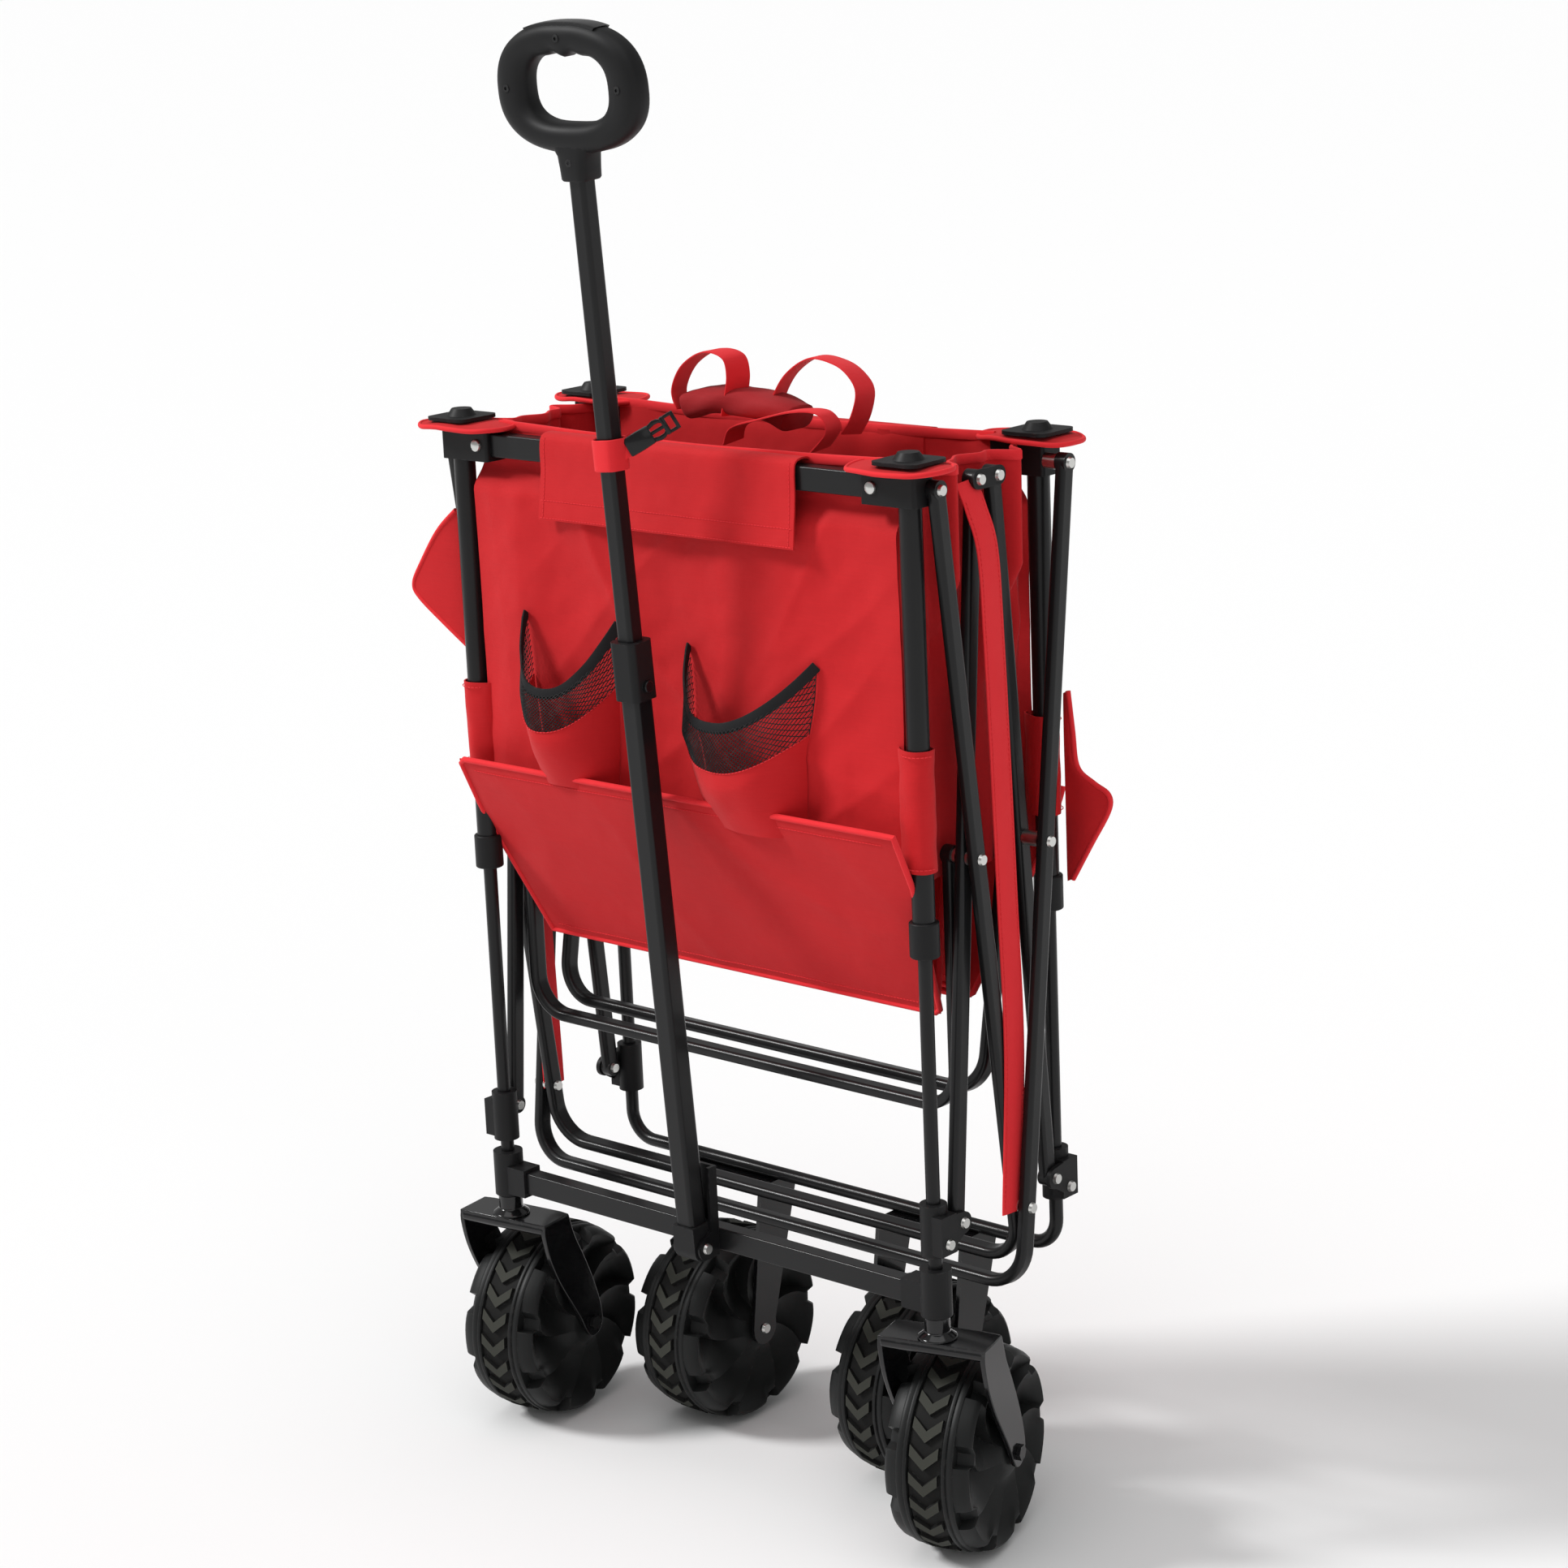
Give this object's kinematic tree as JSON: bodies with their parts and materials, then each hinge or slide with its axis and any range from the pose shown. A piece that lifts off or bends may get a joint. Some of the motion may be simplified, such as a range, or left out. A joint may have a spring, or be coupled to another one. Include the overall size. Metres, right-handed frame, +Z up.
{
  "type": "folding camp wagon",
  "caption": "Folding wagon standing folded, with scissor frame, red cloth body, swivelling front casters and a drawn-out telescopic pull handle.",
  "frame": {"origin": "on the ground, under the middle of the folded wagon", "axes": "+Z up; +X across the wagon, to the side with the latch button; -Y is the front, where the pull handle is"},
  "size_m": [0.6106, 0.3428, 1.2893],
  "materials": {
    "black_steel": "satin black powder coat",
    "black_plastic": "moulded, finely grained",
    "gloss_black_plastic": "moulded, glossy",
    "zinc": "zinc plated",
    "fork_steel": "glossy black coat",
    "tread_rubber": "grey tread band",
    "red_cloth": "coated polyester weave",
    "red_webbing": "woven webbing"
  },
  "bodies": {
    "base": {"front_lower_crossbar": "black_steel", "front_lower_posts": "black_steel", "handle_bracket": "black_steel", "front_tees": "black_plastic", "front_sliders": "black_plastic", "front_lower_rivets": "zinc"},
    "caster_left": {"caster_fork_left": "fork_steel", "caster_bolts_left": "zinc"},
    "wheel_front_left": {"tyre_front_left": "tread_rubber", "hub_front_left": "gloss_black_plastic"},
    "wheel_rear_left": {"tyre_rear_left": "tread_rubber", "hub_rear_left": "gloss_black_plastic"},
    "caster_right": {"caster_fork_right": "fork_steel", "caster_bolts_right": "zinc"},
    "wheel_front_right": {"tyre_front_right": "tread_rubber", "hub_front_right": "gloss_black_plastic"},
    "wheel_rear_right": {"tyre_rear_right": "tread_rubber", "hub_rear_right": "gloss_black_plastic"},
    "bars_front": {"bars_front": "black_steel", "bars_front_pins": "zinc"},
    "bars_rear": {"bars_rear": "black_steel", "bars_rear_pins": "zinc"},
    "bow_front": {"bow_front": "black_steel", "bow_front_pins": "zinc"},
    "bow_rear": {"bow_rear": "black_steel", "bow_rear_pins": "zinc"},
    "floor_bow_front": {"floor_bow_front": "black_steel"},
    "floor_bow_rear": {"floor_bow_rear": "black_steel"},
    "top_links": {"top_links": "black_plastic"},
    "rear_base": {"rear_lower_tube": "black_steel", "rear_sliders": "black_plastic", "rear_forks": "fork_steel", "rear_bolts": "zinc"},
    "front_upper": {"front_top_crossbar": "black_steel", "front_upper_posts": "black_steel", "front_corner_brackets": "black_plastic", "front_collars": "black_plastic", "front_corner_caps": "black_plastic", "front_wall": "red_cloth"},
    "rear_upper": {"rear_top_crossbar": "black_steel", "rear_upper_posts": "black_steel", "rear_corner_brackets": "black_plastic", "rear_collars": "black_plastic", "rear_corner_caps": "black_plastic", "rear_wall": "red_cloth"},
    "side_cloth": {"side_walls": "red_cloth"},
    "floor_front": {"floor_front_panel": "red_cloth"},
    "floor_rear": {"floor_rear_panel": "red_cloth"},
    "floor_mid_front": {"floor_mid_front_panel": "red_cloth"},
    "floor_mid_rear": {"floor_mid_rear_panel": "red_cloth"},
    "handle": {"handle_lower_tube": "black_steel", "handle_boot": "black_plastic", "handle_collar": "black_plastic"},
    "handle_upper": {"handle_upper_tube": "black_steel", "grip_front_shell": "black_plastic", "grip_rear_shell": "black_plastic", "grip_screws": "zinc"},
    "handle_button": {"handle_button": "gloss_black_plastic"},
    "strap": {"handle_strap": "red_webbing", "strap_buckle": "gloss_black_plastic"}
  },
  "joints": [
    {"name": "fold", "type": "hinge", "parent": "base", "child": "bars_front", "pos_m": [0.00437, -0.03663, 0.305], "axis": [-1, 0, 0], "range_deg": [0, 42.7]},
    {"name": "bow_front_cross", "type": "hinge", "parent": "bars_front", "child": "bow_front", "pos_m": [0.00437, -0.01113, 0.6115], "axis": [-1, 0, 0], "range_deg": [-85.93, 0]},
    {"name": "front_top_pivot", "type": "hinge", "parent": "bow_front", "child": "front_upper", "pos_m": [0.00437, -0.04863, 0.92], "axis": [-1, 0, 0], "range_deg": [0, 43.23]},
    {"name": "floor_bow_front_hang", "type": "hinge", "parent": "bow_front", "child": "floor_bow_front", "pos_m": [0.00437, -0.01113, 0.6115], "axis": [-1, 0, 0], "range_deg": [0, 43.23]},
    {"name": "bows_pivot", "type": "hinge", "parent": "bow_front", "child": "bow_rear", "pos_m": [0.00437, 0.02637, 0.303], "axis": [-1, 0, 0], "range_deg": [0, 86.45]},
    {"name": "bars_rear_cross", "type": "hinge", "parent": "bow_rear", "child": "bars_rear", "pos_m": [0.00437, 0.06387, 0.6115], "axis": [-1, 0, 0], "range_deg": [-85.93, 0]},
    {"name": "rear_top_pivot", "type": "hinge", "parent": "bow_rear", "child": "rear_upper", "pos_m": [0.00437, 0.10137, 0.92], "axis": [-1, 0, 0], "range_deg": [-43.23, 0]},
    {"name": "floor_bow_rear_hang", "type": "hinge", "parent": "bow_rear", "child": "floor_bow_rear", "pos_m": [0.00437, 0.06387, 0.6115], "axis": [-1, 0, 0], "range_deg": [-53.73, 0]},
    {"name": "rear_foot_pivot", "type": "hinge", "parent": "bars_rear", "child": "rear_base", "pos_m": [0.00437, 0.08937, 0.305], "axis": [-1, 0, 0], "range_deg": [0, 42.71]},
    {"name": "top_link_pivot", "type": "hinge", "parent": "bars_front", "child": "top_links", "pos_m": [0.00437, 0.01437, 0.918], "axis": [-1, 0, 0], "range_deg": [-42.71, 0]},
    {"name": "floor_front_fold", "type": "hinge", "parent": "floor_bow_front", "child": "floor_front", "pos_m": [0.00437, -0.00463, 0.466], "axis": [-1, 0, 0], "range_deg": [-64.81, 0]},
    {"name": "floor_mid_front_fold", "type": "hinge", "parent": "floor_bow_front", "child": "floor_mid_front", "pos_m": [0.00437, -0.00463, 0.466], "axis": [-1, 0, 0], "range_deg": [0, 83.01]},
    {"name": "floor_rear_fold", "type": "hinge", "parent": "floor_bow_rear", "child": "floor_rear", "pos_m": [0.00437, 0.03096, 0.46962], "axis": [-1, 0, 0], "range_deg": [0, 67.81]},
    {"name": "floor_mid_rear_fold", "type": "hinge", "parent": "floor_bow_rear", "child": "floor_mid_rear", "pos_m": [0.00437, 0.03096, 0.46962], "axis": [-1, 0, 0], "range_deg": [-79.51, 0]},
    {"name": "side_cloth_draw", "type": "slide", "parent": "front_upper", "child": "side_cloth", "axis": [0, 1, 0], "range_m": [0, 0.80449]},
    {"name": "caster_left_swivel", "type": "hinge", "parent": "base", "child": "caster_left", "pos_m": [-0.24563, -0.05663, 0.217], "axis": [0, 0, 1], "range_deg": [-26, 262]},
    {"name": "wheel_front_left_spin", "type": "hinge", "parent": "caster_left", "child": "wheel_front_left", "pos_m": [-0.25225, -0.00707, 0.09], "axis": [0.9912, 0.1323, 0], "continuous": true},
    {"name": "wheel_rear_left_spin", "type": "hinge", "parent": "rear_base", "child": "wheel_rear_left", "pos_m": [-0.11263, 0.08137, 0.09], "axis": [1, 0, 0], "continuous": true},
    {"name": "caster_right_swivel", "type": "hinge", "parent": "base", "child": "caster_right", "pos_m": [0.25437, -0.05663, 0.217], "axis": [0, 0, 1], "range_deg": [-282, 5]},
    {"name": "wheel_front_right_spin", "type": "hinge", "parent": "caster_right", "child": "wheel_front_right", "pos_m": [0.24185, -0.00822, 0.09], "axis": [0.9681, 0.2504, 0], "continuous": true},
    {"name": "wheel_rear_right_spin", "type": "hinge", "parent": "rear_base", "child": "wheel_rear_right", "pos_m": [0.12137, 0.08137, 0.09], "axis": [1, 0, 0], "continuous": true},
    {"name": "handle_tilt", "type": "hinge", "parent": "base", "child": "handle", "pos_m": [0.00437, -0.08063, 0.239], "axis": [1, 0, 0], "range_deg": [0, 78]},
    {"name": "handle_draw", "type": "slide", "parent": "handle", "child": "handle_upper", "axis": [0, -0.0732, 0.9973], "range_m": [-0.345, 0]},
    {"name": "strap_draw", "type": "slide", "parent": "handle", "child": "strap", "axis": [0, -0.0732, 0.9973], "range_m": [-0.14101, 0]},
    {"name": "button_press", "type": "slide", "parent": "handle", "child": "handle_button", "axis": [-1, 0, 0], "range_m": [0, 0.0026], "stiffness_N_per_m": 400}
  ],
  "couplings": [
    {"joint": "bow_front_cross", "follows": "fold", "ratio": -2.0122},
    {"joint": "front_top_pivot", "follows": "fold", "ratio": 1.0122},
    {"joint": "floor_bow_front_hang", "follows": "fold", "ratio": 1.0122},
    {"joint": "bows_pivot", "follows": "fold", "ratio": 2.0245},
    {"joint": "bars_rear_cross", "follows": "fold", "ratio": -2.0122},
    {"joint": "rear_top_pivot", "follows": "fold", "ratio": -1.0122},
    {"joint": "floor_bow_rear_hang", "follows": "fold", "ratio": -1.2581},
    {"joint": "rear_foot_pivot", "follows": "fold", "ratio": 1},
    {"joint": "top_link_pivot", "follows": "fold", "ratio": -1},
    {"joint": "floor_front_fold", "follows": "fold", "ratio": -1.5176},
    {"joint": "floor_mid_front_fold", "follows": "fold", "ratio": 1.9438},
    {"joint": "floor_rear_fold", "follows": "fold", "ratio": 1.5878},
    {"joint": "floor_mid_rear_fold", "follows": "fold", "ratio": -1.8618},
    {"joint": "side_cloth_draw", "follows": "fold", "m_per_rad": 1.0793},
    {"joint": "strap_draw", "follows": "handle_draw", "ratio": 0.4087}
  ]
}
